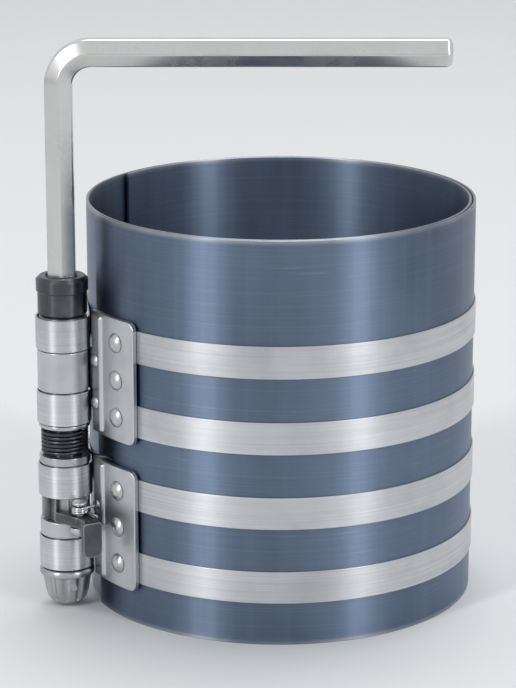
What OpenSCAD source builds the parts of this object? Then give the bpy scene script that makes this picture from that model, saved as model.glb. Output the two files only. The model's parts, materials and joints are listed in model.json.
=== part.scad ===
// Piston ring compressor: a rolled spring-steel sleeve, four tension bands, a winding column with
// ratchet and pawl, and a hexagonal key. Millimetres, +Z up the sleeve, origin on the sleeve axis
// at its bottom edge, key arm along +X, winding column on the left.

/* [Sleeve] */
// Height of the sleeve
sleeve_h = 75; // [60:1:110]
// Inside diameter at the setting shown
bore_d = 70; // [60:1:90]
// Largest inside diameter that the sheet can close to a full ring
open_d = 125; // [115:1:130]
// Thickness of the spring-steel sheet
sheet_t = 0.5; // [0.4:0.05:0.7]
// Space between the lapped layers
layer_gap = 0.25; // [0.15:0.05:0.3]
// Overlap that is left at the largest diameter
lap_spare = 25; // [15:1:40]

/* [Bands] */
// Width of one band
band_w = 6; // [5:0.25:7]
// Thickness of one band
band_t = 0.3; // [0.25:0.05:0.4]
// Height of the lowest band's centre
band_z0 = 11; // [10.5:0.25:13]
// Height from one band to the next
band_pitch = 14; // [13.5:0.25:16]

/* [Brackets] */
// Thickness of the bracket sheet
plate_t = 1; // [0.8:0.1:1.2]
// How far each bracket reaches above and below its outer band centres
plate_margin = 4.5; // [4:0.25:5]
// Angle of the pad's free edge, counted round the sleeve from +X
pad_end = 226; // [225:0.5:228]
// Angle of the pad's fold, counted round the sleeve from +X
pad_fold = 210; // [209.5:0.5:211]
// Length of the flat wing between pad and knuckle
wing_len = 7; // [6.75:0.25:8]
// Diameter of a rivet shank
rivet_d = 2.4; // [2:0.1:2.6]

/* [Winding column] */
// Diameter of the wound bands
wind_d = 9.2; // [8.8:0.1:9.6]
// Diameter of the spindle under the wound bands
core_d = 5; // [4.6:0.1:5.2]
// Diameter of the spindle in the knuckles
journal_d = 7.5; // [7:0.1:7.7]
// Height of the spindle head
head_h = 7.3; // [6.5:0.1:9]
// Diameter of the spindle head
head_d = 9.6; // [9.2:0.1:10]
// Number of ratchet teeth
teeth = 12; // [12:12:12]
// Diameter over the ratchet teeth
ratchet_d = 9; // [8.8:0.1:9.2]
// Diameter of the knob's rim
knob_d = 10.2; // [9.6:0.1:10.6]

/* [Key] */
// Key size across flats
key_af = 5; // [4:0.25:5.25]
// Height of the top of the key
key_top = 107; // [95:1:120]
// Reach of the key's arm from the leg's outer face
key_arm = 73; // [55:1:90]
// Bend radius of the key's centre line
key_bend = 6; // [5.5:0.25:8]

/* [Fits] */
// Radial clearance of a turning or pressed fit
fit = 0.05; // [0.03:0.01:0.08]
// Play between a fixed part and one that moves past it
play = 0.2; // [0.15:0.05:0.25]

/* [Hidden] */
$fn = 96;

// The sheet is a spiral of half-turn arcs about two centres, one pitch in for each full turn.
pitch = sheet_t + layer_gap;
sheet_end = pad_fold - 6;
lap = min(max(360 * (PI * open_d + lap_spare) / (PI * (bore_d + 3 * pitch)), 560), 715);
// The spiral's own X runs to the sheet's outer end, and the half turns meet on it.
e1 = [pitch / 2, 0];
e2 = [0, 0];
c1 = e1[0] * [cos(sheet_end), sin(sheet_end)];
r4 = bore_d / 2;
r3 = r4 + pitch / 2;
r2 = r4 + pitch;
r1 = r4 + 1.5 * pitch;

// Radii of the layers on the outside, about the first centre
skin = 0.03;
band_in = r1 + sheet_t + skin;
pad_in = band_in + band_t + skin;
pad_out = pad_in + plate_t;

// Knuckle and spindle axis
kn_in = journal_d / 2 + fit;
kn_out = kn_in + plate_t;
kn_mid = (kn_in + kn_out) / 2;
n = [cos(pad_fold), sin(pad_fold)];
along = [sin(pad_fold), -cos(pad_fold)];
S = c1 + n * ((pad_in + pad_out) / 2 + kn_mid) + along * wing_len;
s_dir = atan2(S[1], S[0]);
er = [cos(s_dir), sin(s_dir)];
et = [-sin(s_dir), cos(s_dir)];

// Heights up the column
function zb(i) = band_z0 + i * band_pitch;
function low(i) = zb(i) - band_w / 2;
function top(i) = zb(i) + band_w / 2;
k_low0 = top(0) + play;
k_low1 = k_low0 + 3;
rat0 = k_low1 + play;
rat1 = low(1) - play;
sp0 = top(1) + play;
sp1 = low(2) - play;
k_up0 = top(2) + play;
k_up1 = low(3) - play;
head0 = top(3) + play;
head1 = head0 + head_h;
pl_low = [zb(0) - plate_margin, zb(1) + plate_margin];
pl_up = [zb(2) - plate_margin, zb(3) + plate_margin];

// Ratchet and pawl
tip_r = ratchet_d / 2;
root_r = tip_r - 0.9;
step = 360 / teeth;
Q = S + et * 7 - er * 0.5;
q_dir = atan2(Q[1] - S[1], Q[0] - S[0]);
g = q_dir - 45;
hub_r = 1.8;
pin_r = 0.8;
pawl_z = rat0 + 0.15;
pawl_t = 2;
tab_reach = 5.6;
tab_w = 2.2;
thumb_w = 3.8;
thumb_t = 1;
thumb_drop = 4.6;
ear_z = k_low1 - 1 + play / 2;

// Key
hex_r = key_af / sqrt(3);
socket_r = (key_af + 0.16) / sqrt(3);
key_z0 = head0 + 1;

// A ring sector of sheet, about a centre, between two angles
module sector(c, r, t, z0, h, a0, a1) {
    translate([c[0], c[1], z0])
        rotate_extrude(angle = a1 - a0, start = a0) translate([r, 0]) square([t, h]);
}

// A rod of round wire along a path of points
function unit(v) = v / norm(v);
module wire(path, r, sides) {
    m = len(path);
    function tan(i) = unit(path[min(i + 1, m - 1)] - path[max(i - 1, 0)]);
    pts = [for (i = [0:m - 1]) let (t = tan(i), s = unit(cross(t, [0, 0, 1])), v = cross(s, t))
           for (k = [0:sides - 1]) path[i] + r * (cos(360 * k / sides) * s + sin(360 * k / sides) * v)];
    walls = [for (i = [0:m - 2]) for (k = [0:sides - 1])
             [i * sides + k, i * sides + (k + 1) % sides,
              (i + 1) * sides + (k + 1) % sides, (i + 1) * sides + k]];
    ends = [[for (k = [sides - 1:-1:0]) k], [for (k = [0:sides - 1]) (m - 1) * sides + k]];
    polyhedron(points = pts, faces = concat(walls, ends), convexity = 8);
}

// A domed rivet along +X from a shank end to the head's underside
module rivet(x0, x1, sr, hr, hh) {
    ball = (hr * hr + hh * hh) / (2 * hh);
    translate([x0, 0, 0]) rotate([0, 90, 0]) rotate_extrude() {
        square([sr, x1 - x0 + 0.1]);
        translate([0, x1 - x0]) intersection() {
            translate([0, hh - ball]) circle(ball);
            square([hr, hh]);
        }
    }
}

// A hole along +X for a rivet
module rivet_hole(x0, x1, r) {
    translate([x0, 0, 0]) rotate([0, 90, 0]) cylinder(r = r, h = x1 - x0);
}

// Where the pad rivets and the wing rivets stand
rivet_dir = (pad_fold + pad_end) / 2 + 0.5;
module at_pad(z) { translate([c1[0], c1[1], z]) rotate([0, 0, rivet_dir]) children(); }
module at_wing(z) {
    w = c1 + along * 1.8;
    translate([w[0], w[1], z]) rotate([0, 0, pad_fold]) children();
}
function pad_rows(p) = [p[0] + plate_margin, (p[0] + p[1]) / 2, p[1] - plate_margin];
function wing_rows(p) = [(p[0] + p[1]) / 2 - 6, (p[0] + p[1]) / 2 + 2];
wing_sr = rivet_d / 2 - 0.2;

module sleeve() {
    color([0.36, 0.44, 0.56]) difference() {
        rotate([0, 0, sheet_end]) {
            sector(e1, r1, sheet_t, 0, sleeve_h, 0, 180);
            sector(e2, r2, sheet_t, 0, sleeve_h, 180, 360);
            sector(e1, r3, sheet_t, 0, sleeve_h, 0, 180);
            sector(e2, r4, sheet_t, 0, sleeve_h, 180, lap - 360);
        }
        for (p = [pl_low, pl_up]) {
            for (z = pad_rows(p)) at_pad(z) rivet_hole(r1 - layer_gap / 2, pad_out, rivet_d / 2 + fit);
            for (z = wing_rows(p)) at_wing(z) rivet_hole(r1 - layer_gap / 2, pad_out, wing_sr + fit);
        }
    }
}

// One band: from under the pad round the sleeve, then across to the wound turns on the spindle
module band(i) {
    rb = band_in - pitch / 2;
    wr = wind_d / 2 + 0.12;
    b = acos((rb + band_t + wr) / norm(S));
    leave = s_dir + 360 - b;
    v = [cos(leave), sin(leave)];
    A = v * rb;
    L = sqrt(norm(S) * norm(S) - pow(rb + band_t + wr, 2));
    color([0.80, 0.82, 0.84]) difference() {
        union() {
            rotate([0, 0, sheet_end]) {
                sector(e1, band_in, band_t, low(i), band_w, pad_fold + 2.5 - sheet_end, 180);
                sector(e2, rb, band_t, low(i), band_w, 180, leave + 360 - sheet_end);
            }
            translate([A[0], A[1], low(i)]) rotate([0, 0, leave]) translate([skin, -1, 0])
                cube([band_t - 2 * skin, L + 1, band_w]);
        }
        at_pad(zb(i)) rivet_hole(band_in - 1, pad_out, rivet_d / 2 + fit);
    }
}
module band_1() { band(3); }
module band_2() { band(2); }
module band_3() { band(1); }
module band_4() { band(0); }

// A bracket: pad on the sleeve, full-height wing strip, tongue and rolled knuckle
module bracket(p, k0, k1) {
    mid = (pad_in + pad_out) / 2;
    clear = sqrt(pow(wind_d / 2 + 0.95, 2) - kn_in * kn_in);
    w0 = c1 + n * pad_in;
    bead = c1 + (pad_out - 0.25) * [cos(pad_fold + 1), sin(pad_fold + 1)];
    h = p[1] - p[0];
    difference() {
        union() {
            intersection() {
                sector(c1, pad_in, plate_t, p[0], h, pad_fold, pad_end);
                at_pad((p[0] + p[1]) / 2) rotate([0, 90, 0]) linear_extrude(height = 60) {
                    square([h - 3, 30], center = true);
                    translate([-h / 2 + 1.5, -15]) square([h - 3, 15]);
                    translate([-h / 2, -15]) square([h, 15 + 3.8]);
                    for (s = [-1, 1]) translate([s * (h / 2 - 1.5), 3.8]) circle(1.5);
                }
            }
            translate([w0[0], w0[1], p[0]]) rotate([0, 0, pad_fold - 90])
                translate([-1, skin, 0]) cube([wing_len - clear + 1, plate_t - 2 * skin, h]);
            translate([w0[0], w0[1], k0]) rotate([0, 0, pad_fold - 90])
                translate([0, 0.1, 0]) cube([wing_len + 0.5, plate_t - 0.2, k1 - k0]);
            sector(S, kn_in, plate_t, k0, k1 - k0, pad_fold + 180, pad_fold + 180 + 315);
            translate([bead[0], bead[1], p[0] + 0.6]) cylinder(r = 0.75, h = h - 1.2);
        }
        for (z = pad_rows(p)) at_pad(z) rivet_hole(pad_in - 1, pad_out + 2, rivet_d / 2 + fit);
        for (z = wing_rows(p)) at_wing(z) rivet_hole(pad_in - 1, pad_out + 2, wing_sr + fit);
    }
}
module upper_bracket() { color([0.72, 0.74, 0.77]) bracket(pl_up, k_up0, k_up1); }
module lower_bracket() {
    qr = norm(Q - c1);
    qa = atan2(Q[1] - c1[1], Q[0] - c1[0]);
    color([0.72, 0.74, 0.77]) {
        difference() {
            union() {
                bracket(pl_low, k_low0, k_low1);
                translate([Q[0], Q[1], ear_z]) cylinder(r = hub_r, h = 1);
                translate([c1[0], c1[1], ear_z]) rotate([0, 0, qa])
                    translate([pad_out - 0.4, -hub_r, 0]) cube([qr - pad_out + 0.4, 2 * hub_r, 1]);
            }
            translate([Q[0], Q[1], ear_z - 1]) cylinder(r = pin_r + fit, h = 3);
        }
    }
}

module pad_rivets(p) {
    color([0.66, 0.67, 0.70]) for (z = pad_rows(p))
        at_pad(z) rivet(r1 + 0.03, pad_out + 0.02, rivet_d / 2, rivet_d / 2 + 0.7, 0.9);
}
module upper_pad_rivets() { pad_rivets(pl_up); }
module lower_pad_rivets() { pad_rivets(pl_low); }
module wing_rivets(p) {
    color([0.66, 0.67, 0.70]) for (z = wing_rows(p))
        at_wing(z) rivet(r1 + 0.03, pad_out + 0.02, wing_sr, wing_sr + 0.35, 0.6);
}
module upper_wing_rivets() { wing_rivets(pl_up); }
module lower_wing_rivets() { wing_rivets(pl_low); }

// The spindle, turned from one bar, with a hexagonal socket in its head
stub = 1.6;
spring_core = 6.4;
module spindle() {
    cr = core_d / 2;
    jr = journal_d / 2;
    e = 0.04;
    hr = head_d / 2;
    color([0.30, 0.31, 0.34]) translate([S[0], S[1], 0]) difference() {
        union() {
            rotate_extrude() polygon([[0, stub], [cr - 0.3, stub], [cr, stub + 0.3],
                [cr, k_low0 - e], [jr, k_low0 - e], [jr, k_low1 + e], [cr, k_low1 + e],
                [cr, sp0 - e], [spring_core / 2, sp0 - e], [spring_core / 2, sp1 + e], [cr, sp1 + e],
                [cr, k_up0 - e], [jr, k_up0 - e], [jr, k_up1 + e], [cr, k_up1 + e],
                [cr, head0 - e], [hr - 0.7, head0 - e], [hr - 0.25, head0 + 0.5],
                [hr - 0.25, head1 - 2.9], [hr, head1 - 2.6], [hr, head1 - 0.6], [hr - 0.6, head1],
                [0, head1]]);
            translate([0, 0, k_low1]) rotate([0, 0, 30])
                cylinder(r = core_d / 2 + 0.62, h = rat1 - k_low1, $fn = 6);
        }
        translate([0, 0, head0 + 0.7]) rotate([0, 0, 90]) cylinder(r = socket_r, h = head_h, $fn = 6);
        translate([0, 0, head1 - 0.5]) cylinder(r1 = socket_r - 0.3, r2 = socket_r + 0.3, h = 0.6);
        translate([0, 0, 4.2]) rotate([90, 0, 20]) cylinder(r = 0.75 + fit, h = 20, center = true);
    }
}

// The wound turns of a band on the spindle
module winding(i) {
    color([0.80, 0.82, 0.84]) translate([S[0], S[1], 0]) rotate_extrude() polygon([
        [core_d / 2 + fit, low(i)], [wind_d / 2 - 0.25, low(i)], [wind_d / 2, low(i) + 0.25],
        [wind_d / 2, top(i) - 0.25], [wind_d / 2 - 0.25, top(i)], [core_d / 2 + fit, top(i)]]);
}
module winding_1() { winding(3); }
module winding_2() { winding(2); }
module winding_3() { winding(1); }
module winding_4() { winding(0); }

// Seats of the opening spring
module seat(z0, z1) {
    color([0.62, 0.64, 0.67]) translate([S[0], S[1], z0]) difference() {
        cylinder(d = wind_d + 0.3, h = z1 - z0);
        translate([0, 0, -1]) cylinder(r = spring_core / 2 + fit, h = z1 - z0 + 2);
    }
}
seat_low = pl_low[1] + 0.15;
module upper_washer() { seat(sp1 - 0.7, sp1); }
module lower_washer() { seat(sp0, max(seat_low, sp0 + 0.6)); }

// The opening spring: coils on the spindle and a tail that bears on the sleeve
wire_r = 0.3;
coil_r = spring_core / 2 + 0.6 + wire_r;
coil_z0 = max(seat_low, sp0 + 0.6) + wire_r + 0.1;
coil_z1 = sp1 - 0.7 - wire_r - 0.1;
coil_turns = 6.5;
module coil_spring() {
    a0 = s_dir + 180;
    o = S - er * coil_r;
    rest = r1 + pitch / 2 + sheet_t + wire_r + 0.05;
    far = 8.2;
    end_r = sqrt(rest * rest - far * far);
    tail = [for (q = [[far, end_r], [far - 1.2, end_r + 0.25], [5.2, norm(o) - 0.35], [3.2, norm(o) - 0.05]])
            let (p = er * q[1] + et * q[0]) [p[0], p[1], coil_z0]];
    coils = [for (i = [0:coil_turns * 20]) let (a = a0 + 18 * i)
             [S[0] + coil_r * cos(a), S[1] + coil_r * sin(a),
              coil_z0 + (coil_z1 - coil_z0) * i / (coil_turns * 20)]];
    color([0.22, 0.23, 0.26]) wire(concat(tail, coils), wire_r, 8);
}

// The ratchet wheel: steep faces stop the spindle from unwinding
module ratchet_wheel() {
    prof = [for (i = [0:teeth - 1]) let (a = g + step * i)
            each [tip_r * [cos(a), sin(a)], root_r * [cos(a + 1), sin(a + 1)]]];
    color([0.45, 0.46, 0.49]) translate([S[0], S[1], rat0]) difference() {
        linear_extrude(height = rat1 - rat0) polygon(prof);
        translate([0, 0, -1]) rotate([0, 0, 30])
            cylinder(r = core_d / 2 + 0.62 + fit, h = rat1 - rat0 + 2, $fn = 6);
    }
}

// The pawl: nose in the teeth, hub on its pin and a thumb tab
module pawl() {
    function P(r, a) = S + r * [cos(a), sin(a)];
    B = P(tip_r + 0.7, g + 1);
    d = unit(Q - B);
    o = [d[1], -d[0]];
    tail = s_dir + 90 + 8;
    color([0.20, 0.21, 0.23]) difference() {
        union() {
            translate([0, 0, pawl_z]) linear_extrude(height = pawl_t)
                polygon([P(root_r + 0.35, g + 3), B, Q + o * (hub_r - 0.05), Q - o * (hub_r - 0.05),
                         P(tip_r + 0.4, g + 31), P(tip_r - 0.2, g + 15)]);
            translate([Q[0], Q[1], pawl_z]) cylinder(r = hub_r, h = pawl_t);
            translate([Q[0], Q[1], pawl_z]) rotate([0, 0, tail]) translate([0, -tab_w / 2, 0])
                cube([tab_reach - thumb_t / 2, tab_w, pawl_t]);
            translate([Q[0], Q[1], pawl_z - thumb_drop]) rotate([0, 0, tail])
                translate([tab_reach - thumb_t, -thumb_w / 2, 0])
                cube([thumb_t, thumb_w, pawl_t + thumb_drop]);
        }
        translate([Q[0], Q[1], pawl_z - 1]) cylinder(r = pin_r + fit, h = pawl_t + 2);
    }
}
spring_z0 = pawl_z + pawl_t + 0.1 + 0.25;
module pawl_pin() {
    top_z = spring_z0 + 1.75;
    color([0.66, 0.67, 0.70]) translate([Q[0], Q[1], 0]) rotate_extrude() polygon([
        [0, ear_z - 0.55], [1.1, ear_z - 0.55], [1.3, ear_z - 0.35], [1.3, ear_z - 0.04],
        [pin_r, ear_z - 0.04], [pin_r, top_z], [1.4, top_z], [1.4, top_z + 0.35], [1.1, top_z + 0.6],
        [0, top_z + 0.6]]);
}
module pawl_spring() {
    cr = 1.28;
    turns = 2.75;
    a0 = g + 150;
    z1 = spring_z0 + 1.25;
    nose = [for (q = [3.6, 1.8]) [Q[0] + cr * cos(a0) - q * -sin(a0), Q[1] + cr * sin(a0) - q * cos(a0), spring_z0]];
    coils = [for (i = [0:turns * 16]) let (a = a0 + 22.5 * i)
             [Q[0] + cr * cos(a), Q[1] + cr * sin(a), spring_z0 + (z1 - spring_z0) * i / (turns * 16)]];
    a1 = a0 + 360 * turns;
    leg = [for (q = [1.2, 2.4]) [Q[0] + cr * cos(a1) + q * -sin(a1), Q[1] + cr * sin(a1) + q * cos(a1), z1]];
    color([0.70, 0.72, 0.74]) wire(concat(nose, coils, leg), 0.25, 6);
}

// The finger knob on the spindle's lower end, with its cross pin
module knob() {
    kr = knob_d / 2;
    z1 = low(0) - 0.3;
    color([0.58, 0.59, 0.62]) translate([S[0], S[1], 0]) difference() {
        rotate_extrude() polygon([[0, 0.6], [kr - 3, 0.6], [kr - 2.2, 0.9], [kr - 1.6, 1.5], [kr - 1.1, 2.9],
            [kr - 0.6, z1 - 2], [kr - 0.5, z1 - 1.5], [kr, z1 - 1.2], [kr, z1 - 0.4], [kr - 0.4, z1], [0, z1]]);
        for (i = [0:9]) rotate([0, 0, 36 * i + 18]) translate([kr - 1.6, 0, 0.2])
            rotate([0, 13, 0]) translate([0.12, 0, -1.5]) cylinder(r = 0.75, h = z1 - 0.3);
        translate([0, 0, stub - 0.04]) cylinder(r = core_d / 2 + fit, h = z1);
        translate([0, 0, 4.2]) rotate([90, 0, 20]) cylinder(r = 0.75 + fit, h = 20, center = true);
    }
}
module knob_pin() {
    color([0.66, 0.67, 0.70]) translate([S[0], S[1], 4.2]) rotate([90, 0, 20])
        cylinder(r = 0.75, h = knob_d - 2.1, center = true);
}

// The hexagonal key: leg, bend and arm
module key_bar(h) { rotate([0, 0, 90]) cylinder(r = hex_r, h = h, $fn = 6); }
module hex_key() {
    zc = key_top - key_af / 2;
    arm0 = key_bend;
    arm1 = key_arm - key_af / 2;
    color([0.78, 0.79, 0.82]) translate([S[0], S[1], 0]) {
        intersection() {
            translate([0, 0, key_z0]) key_bar(zc - key_bend - key_z0);
            translate([0, 0, key_z0]) union() {
                cylinder(r1 = hex_r - 0.7, r2 = hex_r + 0.1, h = 0.8);
                translate([0, 0, 0.8]) cylinder(r = hex_r + 0.1, h = 100);
            }
        }
        translate([key_bend, 0, zc - key_bend]) rotate([90, 0, 0]) rotate([0, 0, 90])
            rotate_extrude(angle = 90) translate([key_bend, 0]) rotate([0, 0, 90]) circle(hex_r, $fn = 6);
        intersection() {
            translate([arm0, 0, zc]) rotate([0, 90, 0]) key_bar(arm1 - arm0);
            translate([arm0 - 1, 0, zc]) rotate([0, 90, 0]) union() {
                cylinder(r = hex_r + 0.1, h = arm1 - arm0 + 1 - 1.1);
                translate([0, 0, arm1 - arm0 + 1 - 1.1]) cylinder(r1 = hex_r + 0.1, r2 = hex_r - 1, h = 1.1);
            }
        }
    }
}

sleeve();
band_1();
band_2();
band_3();
band_4();
upper_bracket();
lower_bracket();
upper_pad_rivets();
lower_pad_rivets();
upper_wing_rivets();
lower_wing_rivets();
spindle();
winding_1();
winding_2();
winding_3();
winding_4();
upper_washer();
lower_washer();
coil_spring();
ratchet_wheel();
pawl();
pawl_pin();
pawl_spring();
knob();
knob_pin();
hex_key();
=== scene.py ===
"""Looks of a piston ring compressor: rolled sleeve, bands, winding column and key, on a plain stage."""

import json
import math

import bpy
from bpy.props import FloatProperty, FloatVectorProperty, IntProperty, PointerProperty
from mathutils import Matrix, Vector


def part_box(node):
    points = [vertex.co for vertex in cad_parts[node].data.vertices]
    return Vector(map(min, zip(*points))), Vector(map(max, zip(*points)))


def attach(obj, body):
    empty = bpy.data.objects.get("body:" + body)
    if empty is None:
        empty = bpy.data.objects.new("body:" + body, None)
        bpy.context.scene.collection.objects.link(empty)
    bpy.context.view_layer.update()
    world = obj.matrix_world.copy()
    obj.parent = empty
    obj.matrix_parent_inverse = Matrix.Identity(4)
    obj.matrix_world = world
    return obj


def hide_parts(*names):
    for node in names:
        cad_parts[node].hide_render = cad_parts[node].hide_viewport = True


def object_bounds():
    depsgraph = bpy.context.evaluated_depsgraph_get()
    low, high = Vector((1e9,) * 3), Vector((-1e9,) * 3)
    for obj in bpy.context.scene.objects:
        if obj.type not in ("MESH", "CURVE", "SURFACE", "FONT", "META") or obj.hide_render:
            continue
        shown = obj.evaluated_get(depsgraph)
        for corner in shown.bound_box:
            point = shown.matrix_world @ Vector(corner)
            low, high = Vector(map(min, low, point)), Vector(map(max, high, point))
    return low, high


bl_info = {
    "name": "Piston Ring Compressor",
    "version": (1, 0, 0),
    "blender": (4, 5, 0),
    "location": "View3D > Sidebar > Ring Tool",
    "description": "Models and finishes the pieces of a piston ring compressor",
    "category": "Object",
}

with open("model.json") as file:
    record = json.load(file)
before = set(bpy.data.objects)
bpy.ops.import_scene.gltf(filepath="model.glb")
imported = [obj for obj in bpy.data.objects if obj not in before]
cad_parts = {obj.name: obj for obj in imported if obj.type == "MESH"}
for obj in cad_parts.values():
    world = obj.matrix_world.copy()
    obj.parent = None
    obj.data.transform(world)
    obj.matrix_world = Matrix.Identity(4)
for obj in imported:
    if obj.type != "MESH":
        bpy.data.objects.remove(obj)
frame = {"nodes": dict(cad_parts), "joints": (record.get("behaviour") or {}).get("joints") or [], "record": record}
CAD_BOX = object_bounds()
MM = 0.001
FULL_TURN = 2 * math.pi

# MERGE joins points in one place, HAIR keeps faces out of one plane, NEAR finds points at a level or end
MERGE = 0.0001 * MM
HAIR = 0.01 * MM
NEAR = 0.1 * MM

# Steps of the bends: band round the column, half a wound turn, pad, knuckle and key
WRAP_STEPS = 56
WOUND_STEPS = 20
PAD_STEPS = 14
KNUCKLE_STEPS = 70
KEY_STEPS = 20

# The knob's outline in millimetres: in from its rim, and up from its lower or down from its upper end
KNOB_LOWER = ((3, 0), (2.55, 0.08), (2.2, 0.3), (1.86, 0.58), (1.6, 0.9), (1.38, 1.4), (1.1, 2.3))
KNOB_UPPER = ((0.86, 3.4), (0.6, 2.0), (0.5, 1.5), (0.2, 1.38), (0.05, 1.28), (0, 1.1), (0, 0.5),
              (0.1, 0.22), (0.4, 0))

# Points round the knob for each flute, and from a flute's middle to its edge
FLUTE_POINTS = 16
FLUTE_HALF = 5

# The rounded end of the key's arm: millimetres along it, and the share of the bar's width
KEY_NOSE = ((0.35, 0.975), (0.7, 0.91), (0.95, 0.81), (1.1, 0.66))

# Each lamp's name, place, width and height in metres, and its watts
LAMPS = (("left_strip", (-1.60, -1.65, 1.15), 0.28, 2.1, 5.0),
         ("right_strip", (1.65, -1.50, 1.10), 0.22, 2.0, 3.8),
         ("top_box", (0.15, 0.55, 2.00), 1.30, 1.00, 4.8))
LAMP_SPREAD = math.radians(85)
SENSOR_MM = 36.0


def joint_point(name):
    """Where a joint's axis stands, in the frame."""
    return Vector(next(j for j in frame["joints"] if j["name"] == name)["pos_m"])


def mount_size(name, key):
    """A size of one of the record's mounts, in metres."""
    return next(m for m in frame["record"]["mounts"] if m["name"] == name)["dims"][key] * MM


SPINDLE_AXIS = joint_point("spindle_turn")
SPINDLE_AXIS.z = 0
PAWL_AXIS = joint_point("pawl_release")
PAWL_AXIS.z = 0


def length(name, description, default):
    """A length property in metres."""
    return FloatProperty(name=name, description=description, default=default, unit="LENGTH", precision=5)


def angle(name, description, degrees):
    """An angle property."""
    return FloatProperty(name=name, description=description, default=math.radians(degrees),
                         subtype="ANGLE")


def number(name, description, default):
    """A plain number property."""
    return FloatProperty(name=name, description=description, default=default)


def colour(name, description, default):
    """A colour property."""
    return FloatVectorProperty(name=name, description=description, default=default, subtype="COLOR",
                               min=0, max=1)


class SleeveSizes(bpy.types.PropertyGroup):
    """Sizes of the rolled sheet and of the bands round it."""

    bore: length("Bore radius", "Radius of the innermost layer", mount_size("piston_clamp", "r_mm"))
    sheet: length("Sheet thickness", "Thickness of the rolled sheet", 0.5 * MM)
    gap: length("Layer gap", "Space between the lapped layers", 0.25 * MM)
    largest: length("Largest diameter", "Widest ring that the sheet closes to", 125 * MM)
    spare: length("Spare lap", "Overlap that is left at the largest diameter", 25 * MM)
    outer_end: angle("Outer end", "Where the sheet's outer end lies, from +X", 204)
    edge: length("Sheet edge", "Rounding of the sheet's cut edges", 0.14 * MM)
    band: length("Band thickness", "Thickness of a tension band", 0.3 * MM)
    band_edge: length("Band edge", "Rounding of a band's edges", 0.11 * MM)
    band_seat: length("Band seat", "Space between the sleeve and a band", 0.03 * MM)
    band_start: angle("Band start", "Where a band starts under its pad, from +X", 212.5)
    half_turn_steps: IntProperty(name="Steps", description="Steps in half a turn of sheet", default=72)


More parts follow.
